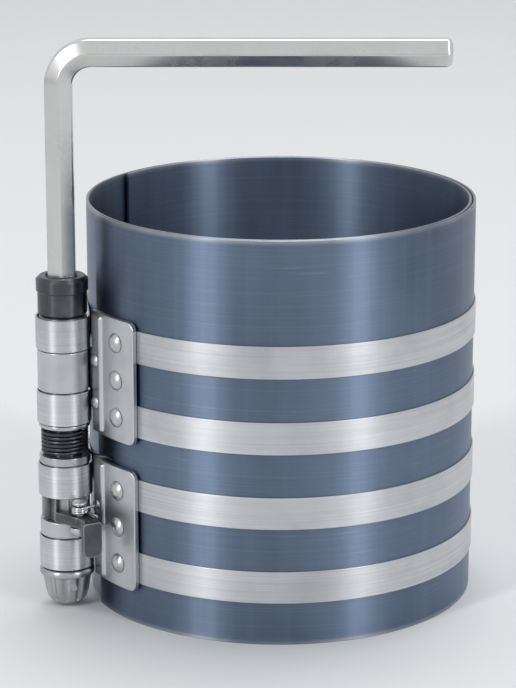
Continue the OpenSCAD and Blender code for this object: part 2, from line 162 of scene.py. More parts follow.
class ColumnSizes(bpy.types.PropertyGroup):
    """Sizes of the winding column."""

    wound: length("Wound radius", "Outside radius of the wound bands", 4.6 * MM)
    wrap: length("Outer turn", "Radius of the band's last turn before the sleeve", 4.72 * MM)
    wrap_angle: angle("Outer turn angle", "How far the band's last turn goes round", 290)
    turn: length("Turn pitch", "Radial space taken by one wound turn", 0.29 * MM)
    turns: IntProperty(name="Turns", description="Turns of band on the spindle", default=6)
    wound_fill: number("Wound fill", "Share of the pitch that a turn fills", 0.93)
    wound_start: angle("Wound start", "Where the wound strip's outer end lies, from +X", 70)
    wound_edge: length("Wound edge", "Rounding of the wound strip's edges", 0.09 * MM)
    coil_wire: length("Coil wire", "Radius of the opening spring's wire", 0.3 * MM)
    coil: length("Coil radius", "Radius of the opening spring at its wire's middle", 4.1 * MM)
    coil_turns: number("Coil turns", "Turns of the opening spring", 6.5)
    tail: length("Spring tail", "How far the opening spring's end reaches along the sleeve", 8.2 * MM)
    pawl_wire: length("Pawl wire", "Radius of the pawl spring's wire", 0.25 * MM)
    pawl_coil: length("Pawl coil", "Radius of the pawl spring at its wire's middle", 1.28 * MM)
    pawl_turns: number("Pawl coil turns", "Turns of the pawl spring", 2.75)
    pawl_start: angle("Pawl coil start", "Start of the pawl spring's coil, from the spindle's line", 105)
    flutes: IntProperty(name="Flutes", description="Flutes pressed into the knob", default=10)
    flute: length("Flute radius", "Radius of a flute's section", 0.75 * MM)
    flute_out: length("Flute lift", "How far a flute's centre lies outside the knob's side", 0.33 * MM)
    flute_step: length("Flute step", "Space between the points across a flute", 0.157 * MM)
    flute_ring: length("Flute ring", "Radius of the knob's side at its flutes", 4.1 * MM)
    flute_low: length("Flute start", "From the knob's lower end to its flutes", 0.7 * MM)
    flute_high: length("Flute end", "From the knob's upper end to its flutes", 1.45 * MM)
    pin_angle: angle("Pin angle", "Turn of the knob's cross pin", 20)
    pin_fit: length("Pin fit", "Space round the cross pin in its hole", 0.05 * MM)
    plate: length("Plate", "Thickness of the bracket sheet", 1.0 * MM)
    fold: angle("Fold", "Where a pad folds into its wing, from +X", 210)
    pad_end: angle("Pad end", "Where a pad ends, from +X", 226)
    pad_corner: length("Pad corner", "Radius of a pad's outer corners", 1.5 * MM)
    pad_tip: angle("Pad tip", "Stretch of a pad that its round corners take", 2.6)
    wing: length("Wing", "From the fold to the start of the knuckle", 7.0 * MM)
    relief: length("Wing relief", "How far the full wing stays back from the knuckle", 4.05 * MM)
    knuckle: length("Knuckle bore", "Inside radius of a rolled knuckle", 3.8 * MM)
    short_roll: length("Lower knuckle", "Height of the lower knuckle", 3.0 * MM)
    roll_angle: angle("Knuckle roll", "How far a knuckle rolls round the spindle", 315)
    play: length("Knuckle play", "Space between a knuckle and the windings beside it", 0.2 * MM)
    bead: length("Bead", "Radius of the rib pressed along a fold", 0.75 * MM)
    bead_sunk: length("Bead depth", "How far the rib's middle lies under the plate's face", 0.25 * MM)
    bead_turn: angle("Bead turn", "From the fold to the rib's middle", 1)
    bead_end: length("Bead end", "From a plate's edge to the end of its rib", 0.6 * MM)
    ear: length("Pawl ear", "Radius of the ear under the pawl", 1.8 * MM)
    ear_sunk: length("Ear root", "How far the ear reaches into the plate", 0.4 * MM)
    pin_head: length("Pin head", "From the pawl pin's lower end to the ear", 0.55 * MM)
    thumb_turn: angle("Thumb turn", "Direction of the pawl's thumb tab, from the spindle's", 98)
    thumb_round: length("Thumb corners", "Radius at the free end of the thumb tab", 1.2 * MM)
    thumb_top: length("Thumb top corners", "Radius at the upper end of the thumb tab", 0.6 * MM)
    edge: length("Broken edge", "Rounding of the machined edges", 0.12 * MM)
    rivet_edge: length("Rivet edge", "Rounding of the rivets' and pins' edges", 0.1 * MM)
    tooth_edge: length("Tooth edge", "Rounding of the ratchet teeth and of the knob", 0.07 * MM)
    plate_edge: length("Plate edge", "Rounding of the bracket sheet's edges", 0.16 * MM)


class KeySizes(bpy.types.PropertyGroup):
    """Sizes of the hexagonal key."""

    flats: length("Across flats", "Width of the hexagon", 5 * MM)
    bend: length("Bend radius", "Radius of the bend's centre line", 6 * MM)
    edge: length("Bar edge", "Rounding of the drawn bar's edges", 0.3 * MM)
    chamfer: length("End chamfer", "Chamfer at the end in the socket", 0.7 * MM)
    nose: length("Round end", "Length of the rounded end of the arm", 1.1 * MM)


class FinishColours(bpy.types.PropertyGroup):
    """Colours of the finishes, as linear values."""

    blued: colour("Blued sheet", "Tempered blue of the sleeve", (0.135, 0.180, 0.255))
    rubbed: colour("Rubbed sheet", "Where the blue has rubbed thin", (0.40, 0.42, 0.45))
    band: colour("Band steel", "Bright rolled band", (0.60, 0.61, 0.63))
    plate: colour("Zinc plate", "Plated brackets", (0.56, 0.575, 0.60))
    rivet: colour("Rivet steel", "Headed rivets and pins", (0.52, 0.52, 0.53))
    oxide: colour("Black oxide", "Spindle and pawl", (0.085, 0.088, 0.098))
    bare: colour("Bare steel", "Steel where a dark finish has worn off", (0.42, 0.41, 0.40))
    spring: colour("Spring wire", "Oil-tempered spring wire", (0.07, 0.072, 0.082))
    nickel: colour("Nickel plate", "Plated key", (0.66, 0.655, 0.64))
    floor: colour("Floor", "Plain pale floor and the surround that is seen", (0.80, 0.81, 0.82))
    ambient: colour("Ambient", "Tint of the light from the surround", (0.86, 0.88, 0.90))


class StageSizes(bpy.types.PropertyGroup):
    """Camera, floor and surround."""

    elevation: angle("Camera elevation", "Height of the camera over the horizon", 15.5)
    lens: FloatProperty(name="Lens", description="Focal length in millimetres", default=150,
                        unit="CAMERA")
    view_height: length("View height", "Height of the picture at the object", 130 * MM)
    floor_reach: length("Floor", "Half the floor's width", 8.0)
    floor_gap: length("Floor gap", "Space between the floor and the object", 0.02 * MM)
    ambient: number("Ambient", "Strength of the surround as light", 0.46)
    surround: number("Surround", "Strength of the surround that is seen", 0.95)


class Socket:
    """One output of a node tree, which Python arithmetic turns into Math nodes."""

    def __init__(self, finish, output):
        self.finish = finish
        self.output = output

    def math(self, operation, *values):
        """A Math node on this value and others."""
        return self.finish.math(operation, self, *values)

    def __add__(self, other):
        return self.math("ADD", other)

    def __mul__(self, other):
        return self.math("MULTIPLY", other)

    def __rsub__(self, other):
        return self.finish.math("SUBTRACT", other, self)

    __radd__ = __add__
    __rmul__ = __mul__

    def clamped(self):
        """The value kept between 0 and 1."""
        return self.math("MINIMUM", 1.0).math("MAXIMUM", 0.0)


class Finish:
    """A material in the making, with its Principled shader."""

    def __init__(self, name, **constants):
        self.material = bpy.data.materials.new(name)
        self.material.use_nodes = True
        self.tree = self.material.node_tree
        self.tree.nodes.clear()
        self.shader = self.tree.nodes.new("ShaderNodeBsdfPrincipled")
        end = self.tree.nodes.new("ShaderNodeOutputMaterial")
        self.tree.links.new(self.shader.outputs["BSDF"], end.inputs["Surface"])
        self.place = self.node("ShaderNodeTexCoord", output="Object")
        for socket, value in constants.items():
            self.set(socket.replace("_", " ").title(), value)

    def feed(self, socket, value):
        """Links a Socket, or writes a constant."""
        if isinstance(value, Socket):
            self.tree.links.new(value.output, socket)
        elif hasattr(value, "__len__") and len(socket.default_value) == 4:
            socket.default_value = (*value[:3], 1.0)
        else:
            socket.default_value = value

    def set(self, socket, value):
        """Feeds one socket of the Principled shader."""
        self.feed(self.shader.inputs[socket], value)

    def node(self, kind, settings=None, inputs=None, output=0):
        """Adds any node: its settings first, then its sockets. Returns one output."""
        made = self.tree.nodes.new(kind)
        for key, value in (settings or {}).items():
            setattr(made, key, value)
        for key, value in (inputs or {}).items():
            self.feed(made.inputs[key], value)
        return Socket(self, made.outputs[output])

    def math(self, operation, *values):
        """A Math node over numbers and Sockets."""
        return self.node("ShaderNodeMath", {"operation": operation}, dict(enumerate(values)))

    def noise(self, scale, detail=3.0, roughness=0.55):
        """Noise from 0 to 1 on Object coordinates, stretched by a scale for each axis."""
        stretched = self.node("ShaderNodeMapping", inputs={"Vector": self.place, "Scale": scale})
        return self.node("ShaderNodeTexNoise", inputs={"Vector": stretched, "Scale": 1.0,
                                                       "Detail": detail, "Roughness": roughness})

    def axis(self, letter):
        """One Object coordinate."""
        return self.node("ShaderNodeSeparateXYZ", inputs={"Vector": self.place}, output=letter)

    def band(self, value, low, high):
        """0 below low, 1 above high, smooth between."""
        return self.node("ShaderNodeMapRange", {"interpolation_type": "SMOOTHSTEP"},
                         {"Value": value, "From Min": low, "From Max": high})

    def mix(self, share, first, second):
        """A colour between two colours."""
        return self.node("ShaderNodeMix", {"data_type": "RGBA"}, {0: share, 6: first, 7: second},
                         output=2)

    def edges(self, reach):
        """1 on outside edges, 0 on flats, by how near the piece's own surface lies inwards."""
        settings = {"inside": True, "only_local": True, "samples": 8}
        depth = self.node("ShaderNodeAmbientOcclusion", settings, {"Distance": reach}, output="AO")
        return self.band(1 - depth, 0.12, 0.5)

    def corner_shade(self, reach=0.8 * MM):
        """Painted shade: 1 in the piece's own corners, which are darkened as shade, 0 in the open."""
        settings = {"only_local": True, "samples": 8}
        space = self.node("ShaderNodeAmbientOcclusion", settings, {"Distance": reach}, output="AO")
        return self.band(1 - space, 0.15, 0.6)

    def grain_round(self, strength):
        """Spreads highlights upright, as fine lines round the piece do."""
        quarter_turn = 0.25
        self.set("Anisotropic", strength)
        self.set("Anisotropic Rotation", quarter_turn)

    def bump(self, height, distance):
        """Feeds the shader's normal from a height between 0 and 1."""
        self.set("Normal", self.node("ShaderNodeBump", inputs={"Strength": 1.0, "Distance": distance,
                                                               "Height": height}))


def shaded(tone, share):
    """A colour times a share, kept below 1."""
    return [min(1.0, part * share) for part in tone]


def blued_sheet(colours):
    """Tempered spring sheet: blue skin, brushed grain round it, faint lighter upright streaks as painted sheen,
    bright rims.
    """
    finish = Finish("blued_spring_sheet", metallic=1.0)
    grain = finish.noise((12, 12, 4600), 3)
    sheen_streaks = finish.noise((260, 260, 3), 3)
    cloud = finish.noise((34, 34, 20), 4)
    low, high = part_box("sleeve")
    z = finish.axis("Z")
    rim = 1 - finish.band(z, low.z + 0.1 * MM, low.z + 1.0 * MM)
    rim = rim + finish.band(z, high.z - 1.0 * MM, high.z - 0.1 * MM)
    rubs = finish.band(finish.noise((90, 90, 2300), 3), 0.60, 0.80) * finish.band(cloud, 0.42, 0.68)
    worn = (rim * (0.35 + finish.band(cloud, 0.3, 0.6) * 0.55) + rubs * 0.4).clamped()
    tint = finish.mix(finish.band(cloud, 0.3, 0.7), shaded(colours.blued, 0.84),
                      shaded(colours.blued, 1.2))
    # Painted sheen: lighter upright streaks of blue stand in for reflection streaks on the cylinder
    tint = finish.mix(finish.band(sheen_streaks, 0.38, 0.75) * 0.35, tint, shaded(colours.blued, 1.5))
    tint = finish.mix(finish.band(grain, 0.45, 0.8) * 0.14, tint, colours.rubbed)
    finish.set("Base Color", finish.mix(worn, tint, colours.rubbed))
    finish.set("Roughness", 0.36 + grain * 0.08 + sheen_streaks * 0.08 + cloud * 0.06)
    finish.grain_round(0.9)
    finish.bump(grain, 0.010 * MM)
    return finish.material


def rolled_band(name, tone):
    """Rolled strip: fine lines along its length, and grey wear in patches."""
    finish = Finish(name, metallic=1.0)
    lines = finish.noise((22, 22, 5200), 3)
    broad = finish.noise((30, 30, 900), 2)
    dull = finish.band(finish.noise((75, 75, 75), 4), 0.42, 0.75)
    shade = finish.mix(finish.band(lines, 0.3, 0.75) * 0.5, shaded(tone, 1.08), shaded(tone, 0.74))
    shade = finish.mix(finish.band(broad, 0.5, 0.8) * 0.3, shade, shaded(tone, 0.7))
    finish.set("Base Color", finish.mix(dull * 0.4, shade, shaded(tone, 0.66)))
    finish.set("Roughness", 0.37 + lines * 0.1 + dull * 0.1)
    finish.grain_round(0.8)
    finish.bump(lines, 0.012 * MM)
    return finish.material


def zinc_plate(colours):
    """Plated pressed sheet: soft grey with fine grain, bright edges and painted shade in the corners."""
    finish = Finish("zinc_plate", metallic=1.0)
    grain = finish.noise((900, 900, 900), 3)
    drawn = finish.noise((500, 500, 60), 3)
    handled = finish.band(finish.noise((110, 110, 110), 4), 0.42, 0.72)
    tone = finish.mix(handled * 0.5, colours.plate, shaded(colours.plate, 0.74))
    tone = finish.mix(finish.band(drawn, 0.5, 0.8) * 0.3, tone, shaded(colours.plate, 0.68))
    # Painted shade: the piece's own corners are darkened to about a third of the plate's tone
    tone = finish.mix(finish.corner_shade() * 0.55, tone, shaded(colours.plate, 0.35))
    finish.set("Base Color", finish.mix(finish.edges(0.3 * MM) * 0.7, tone, shaded(colours.plate, 1.3)))
    finish.set("Roughness", 0.30 + grain * 0.1 + handled * 0.1)
    finish.bump(grain * 0.6 + drawn * 0.4, 0.01 * MM)
    return finish.material


def headed_rivet(colours):
    """Bright headed steel with dull spots and dirt."""
    finish = Finish("headed_rivet", metallic=1.0)
    grain = finish.noise((1300, 1300, 1300), 3)
    dirt = finish.band(finish.noise((330, 330, 330), 4), 0.48, 0.78)
    finish.set("Base Color", finish.mix(dirt * 0.5, colours.rivet, shaded(colours.rivet, 0.5)))
    finish.set("Roughness", 0.24 + grain * 0.12 + dirt * 0.14)
    finish.bump(grain, 0.007 * MM)
    return finish.material


def black_oxide(name, colours, gloss, wear, turned=0.0):
    """Oiled black steel: turned lines, with bare metal where its edges are rubbed."""
    finish = Finish(name, metallic=1.0)
    lathe = finish.noise((90, 90, 3800), 2)
    cloud = finish.noise((240, 240, 240), 4)
    rubbed = (finish.edges(0.5 * MM) * (0.35 + finish.band(cloud, 0.30, 0.62) * 0.65) * wear).clamped()
    tone = finish.mix(finish.band(cloud, 0.35, 0.75), colours.oxide, shaded(colours.oxide, 1.5))
    finish.set("Base Color", finish.mix(rubbed, tone, colours.bare))
    finish.set("Roughness", gloss + lathe * 0.12 + cloud * 0.1)
    finish.grain_round(turned)
    finish.bump(lathe, 0.012 * MM)
    return finish.material


def turned_steel(name, colours, shade, gloss):
    """Plain turned steel: lathe lines, oil stain, bright edges and painted shade in the corners."""
    finish = Finish(name, metallic=1.0)
    lathe = finish.noise((50, 50, 3200), 3)
    stain = finish.band(finish.noise((200, 200, 200), 4), 0.42, 0.75)
    tone = shaded(colours.rivet, shade)
    skin = finish.mix(stain * 0.6, tone, shaded(tone, 0.55))
    # Painted shade: the piece's own corners are darkened to a quarter of the tone
    skin = finish.mix(finish.corner_shade(0.6 * MM) * 0.7, skin, shaded(tone, 0.25))
    finish.set("Base Color", finish.mix(finish.edges(0.3 * MM) * 0.6, skin, shaded(tone, 1.45)))
    finish.set("Roughness", gloss + lathe * 0.14 + stain * 0.08)
    finish.grain_round(0.6)
    finish.bump(lathe, 0.010 * MM)
    return finish.material


def tempered_wire(name, tone, gloss):
    """Drawn spring wire with a thin tempered skin, rubbed in spots."""
    finish = Finish(name, metallic=1.0)
    skin = finish.noise((620, 620, 1500), 4)
    worn = finish.band(skin, 0.48, 0.8)
    finish.set("Base Color", finish.mix(worn * 0.6, tone, [part * 2.2 + 0.03 for part in tone]))
    finish.set("Roughness", gloss + skin * 0.16)
    finish.bump(skin, 0.006 * MM)
    return finish.material


def nickel_plate(colours):
    """Plated drawn bar: faint drawing lines, handling marks and brighter corners."""
    finish = Finish("nickel_plate", metallic=1.0)
    lines = finish.noise((70, 1300, 1300), 3)
    marks = finish.band(finish.noise((95, 95, 95), 5), 0.48, 0.76)
    fine = finish.noise((1700, 1700, 1700), 2)
    tone = finish.mix(marks * 0.45, colours.nickel, shaded(colours.nickel, 0.68))
    tone = finish.mix(finish.band(fine, 0.55, 0.8) * 0.2, tone, shaded(colours.nickel, 0.6))
    bright = shaded(colours.nickel, 1.25)
    finish.set("Base Color", finish.mix(finish.edges(0.5 * MM) * 0.5, tone, bright))
    finish.set("Roughness", 0.19 + lines * 0.07 + marks * 0.12)
    finish.bump(lines * 0.5 + fine * 0.5, 0.006 * MM)
    return finish.material


def deselect():
    """Object mode with nothing selected."""
    if bpy.context.mode != "OBJECT":
        bpy.ops.object.mode_set(mode="OBJECT")
    bpy.ops.object.select_all(action="DESELECT")


def open_in_edit(piece):
    """Edit mode on one piece, all of it selected."""
    only(piece)
    bpy.ops.object.mode_set(mode="EDIT")
    bpy.ops.mesh.select_all(action="SELECT")


def named(name):
    """The new primitive, with its name and its place applied to its mesh."""
    piece = bpy.context.object
    piece.name = piece.data.name = name
    bpy.ops.object.transform_apply(location=True, rotation=True, scale=True)
    return piece


def only(piece):
    """Object mode with one piece selected and active."""
    deselect()
    piece.select_set(True)
    bpy.context.view_layer.objects.active = piece


def apply_modifier(piece, kind, **settings):
    """Adds a modifier to a piece and applies it."""
    only(piece)
    step = piece.modifiers.new(kind.lower(), kind)
    for key, value in settings.items():
        setattr(step, key, value)
    bpy.ops.object.modifier_apply(modifier=step.name)


def smooth(piece, limit=math.radians(35)):
    """Smooth round surfaces, with flats that stay flat beside their rounded edges."""
    only(piece)
    bpy.ops.object.shade_smooth_by_angle(angle=limit)
    apply_modifier(piece, "WEIGHTED_NORMAL", keep_sharp=True)
    deselect()
    return piece


def close_up(piece, limit=math.radians(35)):
    """Ends edit mode with merged points, outward faces and smooth round surfaces."""
    open_in_edit(piece)
    bpy.ops.mesh.remove_doubles(threshold=MERGE)
    bpy.ops.mesh.normals_make_consistent(inside=False)
    return smooth(piece, limit)


def pick(piece, test):
    """Selects the points that pass a test on their place, in edit mode."""
    open_in_edit(piece)
    bpy.ops.mesh.select_mode(type="VERT")
    bpy.ops.mesh.select_all(action="DESELECT")
    bpy.ops.object.mode_set(mode="OBJECT")
    for point in piece.data.vertices:
        point.select = test(point.co)
    bpy.ops.object.mode_set(mode="EDIT")


def raised_copy(piece, name, rise):
    """A copy of a piece with its own mesh, further up."""
    only(piece)
    bpy.ops.object.duplicate(linked=False)
    copy = bpy.context.object
    copy.location.z += rise
    return named(name)


def settle(piece, body, slot, material, *nodes):
    """Gives a piece its finish, its body and the CAD nodes that it stands for."""
    piece.data.materials.clear()
    piece.data.materials.append(material)
    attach(piece, body)
    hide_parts(*nodes)


def strip_section(name, centre, ray_angle, inner, outer, low, high, edge):
    """A strip's cross-section as one face with rounded edges, on a ray from a centre."""
    ray = Vector((math.cos(ray_angle), math.sin(ray_angle), 0))
    middle = centre + ray * (inner + outer) / 2
    deselect()
    bpy.ops.mesh.primitive_plane_add(size=1, location=(middle.x, middle.y, (low + high) / 2),
                                     rotation=(math.pi / 2, 0, ray_angle))
    bpy.context.object.scale = (outer - inner, high - low, 1)
    piece = named(name)
    open_in_edit(piece)
    if edge:
        bpy.ops.mesh.bevel(offset=edge, segments=3, affect="VERTICES")
        bpy.ops.mesh.select_all(action="SELECT")
    return piece


def roll(centre, turn, steps):
    """Carries the selected end round a centre, against the clock for a positive turn."""
    bpy.ops.mesh.spin(steps=steps, angle=turn, center=centre, axis=(0, 0, -1))


def run_on(offset):
    """Carries the selected end straight on."""
    bpy.ops.mesh.extrude_region_move(TRANSFORM_OT_translate={"value": offset})


def scale_about(axis, share, flat=(1, 1, 0)):
    """Scales what is selected about a point, in two directions."""
    value = [share if moves else 1 for moves in flat]
    bpy.ops.transform.resize(value=value, center_override=axis)


def bevelled_copy(node, name, edge, shape=None):
    """A CAD node's mesh as a piece of its own, shaped further where asked, with broken edges."""
    piece = bpy.data.objects.new(name, frame["nodes"][node].data.copy())
    piece.data.name = name
    bpy.context.scene.collection.objects.link(piece)
    open_in_edit(piece)
    bpy.ops.mesh.remove_doubles(threshold=2 * MERGE)
    bpy.ops.mesh.dissolve_limited(angle_limit=math.radians(0.5))
    if shape:
        shape(piece)
    apply_modifier(piece, "BEVEL", width=edge, segments=2, limit_method="ANGLE",
                   angle_limit=math.radians(28), miter_outer="MITER_ARC")
    return smooth(piece, math.radians(32))


def wire(name, points, radius, sides=10):
    """Round wire along points, as a mesh."""
    deselect()
    line = bpy.data.curves.new(name, "CURVE")
    line.dimensions = "3D"
    line.bevel_depth, line.bevel_resolution = radius, sides // 2 - 2
    line.use_fill_caps = True
    spline = line.splines.new("POLY")
    spline.points.add(len(points) - 1)
    for point, at in zip(spline.points, points):
        point.co = (*at, 1)
    piece = bpy.data.objects.new(name, line)
    bpy.context.scene.collection.objects.link(piece)
    piece.select_set(True)
    bpy.context.view_layer.objects.active = piece
    bpy.ops.object.convert(target="MESH")
    return close_up(bpy.context.object)


def spiral(sizes):
    """Centres and radii of the sheet's half turns, from the outside in, and the last one's angle."""
    pitch = sizes.sheet + sizes.gap
    outer = Vector((math.cos(sizes.outer_end), math.sin(sizes.outer_end), 0)) * pitch / 2
    lap = FULL_TURN * (math.pi * sizes.largest + sizes.spare) / (math.pi * (2 * sizes.bore + 3 * pitch))
    radii = [sizes.bore + k * pitch / 2 for k in (3, 2, 1, 0)]
    centres = [outer, Vector(), outer, Vector()]
    return centres, radii, lap - 3 * math.pi


class RINGTOOL_OT_sleeve(bpy.types.Operator):
    """Rolls the spring sheet in half turns about two centres"""

    bl_idname = "ringtool.sleeve"
    bl_label = "Rolled Sleeve"

    def execute(self, context):
        sizes = context.scene.ring_sleeve
        centres, radii, rest = spiral(sizes)
        low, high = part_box("sleeve")
        sheet = strip_section("rolled_sleeve", centres[0], sizes.outer_end, radii[0],
                              radii[0] + sizes.sheet, low.z, high.z, sizes.edge)
        for centre in centres[:3]:
            roll(centre, math.pi, sizes.half_turn_steps)
        roll(centres[3], rest, int(sizes.half_turn_steps * rest / math.pi))
        close_up(sheet)
        settle(sheet, "sleeve_body", "blued_sheet", blued_sheet(context.scene.ring_colours), "sleeve")
        return {"FINISHED"}


class RINGTOOL_OT_bands(bpy.types.Operator):
    """Lays the four bands round the sleeve and onto the spindle"""

    bl_idname = "ringtool.bands"
    bl_label = "Tension Bands"

    def execute(self, context):
        sizes, column = context.scene.ring_sleeve, context.scene.ring_column
        centres, radii, _ = spiral(sizes)
        inner = radii[0] + sizes.sheet + sizes.band_seat
        after = inner - (radii[0] - radii[1])
        reach = SPINDLE_AXIS.length
        leave = math.atan2(SPINDLE_AXIS.y, SPINDLE_AXIS.x) + FULL_TURN
        leave -= math.acos((after + sizes.band + column.wrap) / reach)
        straight = math.sqrt(reach ** 2 - (after + sizes.band + column.wrap) ** 2)
        heading = Vector((-math.sin(leave), math.cos(leave), 0))
        first_arc = sizes.outer_end + math.pi - sizes.band_start
        second_arc = leave + FULL_TURN - sizes.outer_end - math.pi
        finish = rolled_band("rolled_band", list(context.scene.ring_colours.band))
        low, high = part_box("band_4")
        strip = strip_section("tension_band_4", centres[0], sizes.band_start, inner, inner + sizes.band,
                              low.z, high.z, sizes.band_edge)
        roll(centres[0], first_arc, sizes.half_turn_steps)
        roll(centres[1], second_arc, sizes.half_turn_steps)
        run_on(heading * straight)
        roll(SPINDLE_AXIS, -column.wrap_angle, WRAP_STEPS)
        close_up(strip)
        for i in (3, 2, 1):
            higher = raised_copy(strip, f"tension_band_{i}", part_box(f"band_{i}")[0].z - low.z)
            settle(higher, "sleeve_body", "band_steel", finish, f"band_{i}")
        settle(strip, "sleeve_body", "band_steel", finish, "band_4")
        return {"FINISHED"}


class RINGTOOL_OT_windings(bpy.types.Operator):
    """Winds the ends of the bands on the spindle, turn on turn"""

    bl_idname = "ringtool.windings"
    bl_label = "Wound Band Ends"

    def execute(self, context):
        column = context.scene.ring_column
        start = column.wound_start
        ray = Vector((math.cos(start), math.sin(start), 0))
        inner = column.wound - column.turn * column.wound_fill
        # Painted shade: the wound strip takes the band's finish darkened to 0.85, as shade between its layers
        finish = rolled_band("shaded_wound_strip", shaded(context.scene.ring_colours.band, 0.85))
        low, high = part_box("winding_4")
        strip = strip_section("wound_band_4", SPINDLE_AXIS, start, inner, column.wound, low.z, high.z,
                              column.wound_edge)
        for half in range(2 * column.turns):
            shift = ray * (column.turn / 2 if half % 2 == 0 else 0)
            roll(SPINDLE_AXIS + shift, -math.pi, WOUND_STEPS)
        close_up(strip)
        for i in (3, 2, 1):
            higher = raised_copy(strip, f"wound_band_{i}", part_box(f"winding_{i}")[0].z - low.z)
            settle(higher, "spindle_body", "winding_steel", finish, f"winding_{i}")
        settle(strip, "spindle_body", "winding_steel", finish, "winding_4")
        return {"FINISHED"}


def broken_edges(piece, edge):
    """Closes a piece up and rounds its sharp edges."""
    close_up(piece)
    apply_modifier(piece, "BEVEL", width=edge, segments=3, limit_method="ANGLE",
                   angle_limit=math.radians(40))
    return smooth(piece)


def pad_and_wing(name, centre, inner, low, high, column):
    """The plate from the pad's rounded end round to the fold and along the wing."""
    outer = inner + column.plate
    wing = Vector((math.sin(column.fold), -math.cos(column.fold), 0))
    plate = strip_section(name, centre, column.pad_end, inner, outer, low, high, 0)
    roll(centre, -column.pad_tip, 1)
    roll(centre, column.fold - column.pad_end + column.pad_tip, PAD_STEPS)
    run_on(wing * (column.wing - column.relief))
    close_up(plate)
    end = Vector((math.cos(column.pad_end), math.sin(column.pad_end), 0))
    side = Vector((-end.y, end.x, 0))
    for height in (low, high):
        pick(plate, lambda at: abs(at.z - height) < HAIR and abs((at - centre).dot(side)) < HAIR
             and (at - centre).dot(end) > 0)
        bpy.ops.mesh.bevel(offset=column.pad_corner, segments=7, affect="EDGES")
    return broken_edges(plate, column.plate_edge)


def rolled_knuckle(name, low, high, column):
    """The tongue that leaves the wing and rolls round the spindle."""
    wing = Vector((math.sin(column.fold), -math.cos(column.fold), 0))
    root = 1 * MM
    run = wing * (column.relief + root)
    inner = column.knuckle
    knuckle = strip_section(name, SPINDLE_AXIS - run, column.fold + math.pi, inner + HAIR,
                            inner + column.plate - HAIR, low, high, 0)
    run_on(run)
    roll(SPINDLE_AXIS, column.roll_angle, KNUCKLE_STEPS)
    return broken_edges(knuckle, column.plate_edge)


def pressed_bead(name, at, radius, low, high):
    """The rib that is pressed along the fold, with round ends."""
    deselect()
    tip = 0.4
    ends = ((0.08, 0.7), (0.25, 0.9), (0.5, 0.98), (0.75, 1.0))
    bpy.ops.mesh.primitive_circle_add(vertices=32, radius=radius * tip, fill_type="NGON",
                                      location=(at.x, at.y, low))
    bead = named(name)
    open_in_edit(bead)
    levels = [(low + up * radius, share) for up, share in ends]
    levels += [(high - up * radius, share) for up, share in reversed(ends)] + [(high, tip)]
    height, share = low, tip
    for higher, wider in levels:
        run_on((0, 0, higher - height))
        scale_about(at, wider / share)
        height, share = higher, wider
    return close_up(bead, math.radians(50))


def pawl_ear(name, centre, inner, low, column):
    """The ear on the lower bracket that carries the pawl's pin, round at its outer end."""
    arm = PAWL_AXIS - centre
    out = arm.normalized()
    side = Vector((-out.y, out.x, 0))
    reach = arm.length + column.ear
    middle = centre + out * (inner + reach) / 2
    deselect()
    bpy.ops.mesh.primitive_cube_add(size=1, location=(middle.x, middle.y, low + column.plate / 2),
                                    rotation=(0, 0, math.atan2(out.y, out.x)))
    bpy.context.object.scale = (reach - inner, 2 * column.ear, column.plate)
    ear = named(name)
    for way in (1, -1):
        pick(ear, lambda at: (at - centre).dot(out) > reach - NEAR
             and way * (at - centre).dot(side) > 0)
        bpy.ops.mesh.bevel(offset=column.ear - HAIR, segments=12, affect="EDGES")
    return broken_edges(ear, column.plate_edge)


class RINGTOOL_OT_brackets(bpy.types.Operator):
    """Bends the two brackets from sheet: pad, fold, wing and rolled knuckle"""

    bl_idname = "ringtool.brackets"
    bl_label = "Brackets"

    def execute(self, context):
        sizes, column = context.scene.ring_sleeve, context.scene.ring_column
        centres, radii, _ = spiral(sizes)
        centre = centres[0]
        inner = radii[0] + sizes.sheet + sizes.band + 2 * sizes.band_seat
        finish = zinc_plate(context.scene.ring_colours)
        seats = {i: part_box(f"winding_{i}") for i in (1, 2, 4)}
        lowest = seats[4][1].z + column.play
        knuckles = {"upper": (seats[2][1].z + column.play, seats[1][0].z - column.play),
                    "lower": (lowest, lowest + column.short_roll)}
        bend = column.fold + column.bead_turn
        depth = inner + column.plate - column.bead_sunk
        rib = centre + Vector((math.cos(bend), math.sin(bend), 0)) * depth
        for place, (bottom, top) in knuckles.items():
            low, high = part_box(f"{place}_bracket")
            name = f"{place}_bracket_plate"
            plate = pad_and_wing(name, centre, inner, low.z, high.z, column)
            parts = [rolled_knuckle(f"{name}_roll", bottom, top, column),
                     pressed_bead(f"{name}_bead", rib, column.bead, low.z + column.bead_end,
                                  high.z - column.bead_end)]
            if place == "lower":
                root = inner + column.plate - column.ear_sunk
                ear_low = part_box("pawl_pin")[0].z + column.pin_head
                parts.append(pawl_ear(f"{name}_ear", centre, root, ear_low, column))
            only(plate)
            for part in parts:
                part.select_set(True)
            bpy.ops.object.join()
            settle(plate, "sleeve_body", "bracket_steel", finish, f"{place}_bracket")
        return {"FINISHED"}


class RINGTOOL_OT_rivets(bpy.types.Operator):
    """Finishes the rivets and cross pins"""

    bl_idname = "ringtool.rivets"
    bl_label = "Rivets and Pins"

    def execute(self, context):
        edge = context.scene.ring_column.rivet_edge
        finish = headed_rivet(context.scene.ring_colours)
        bodies = {f"{place}_{kind}_rivets": "sleeve_body" for place in ("upper", "lower")
                  for kind in ("pad", "wing")}
        bodies.update({"pawl_pin": "sleeve_body", "knob_pin": "spindle_body"})
        for node, body in bodies.items():
            piece = bevelled_copy(node, f"{node}_set", edge)
            settle(piece, body, "rivet_steel", finish, node)
        return {"FINISHED"}


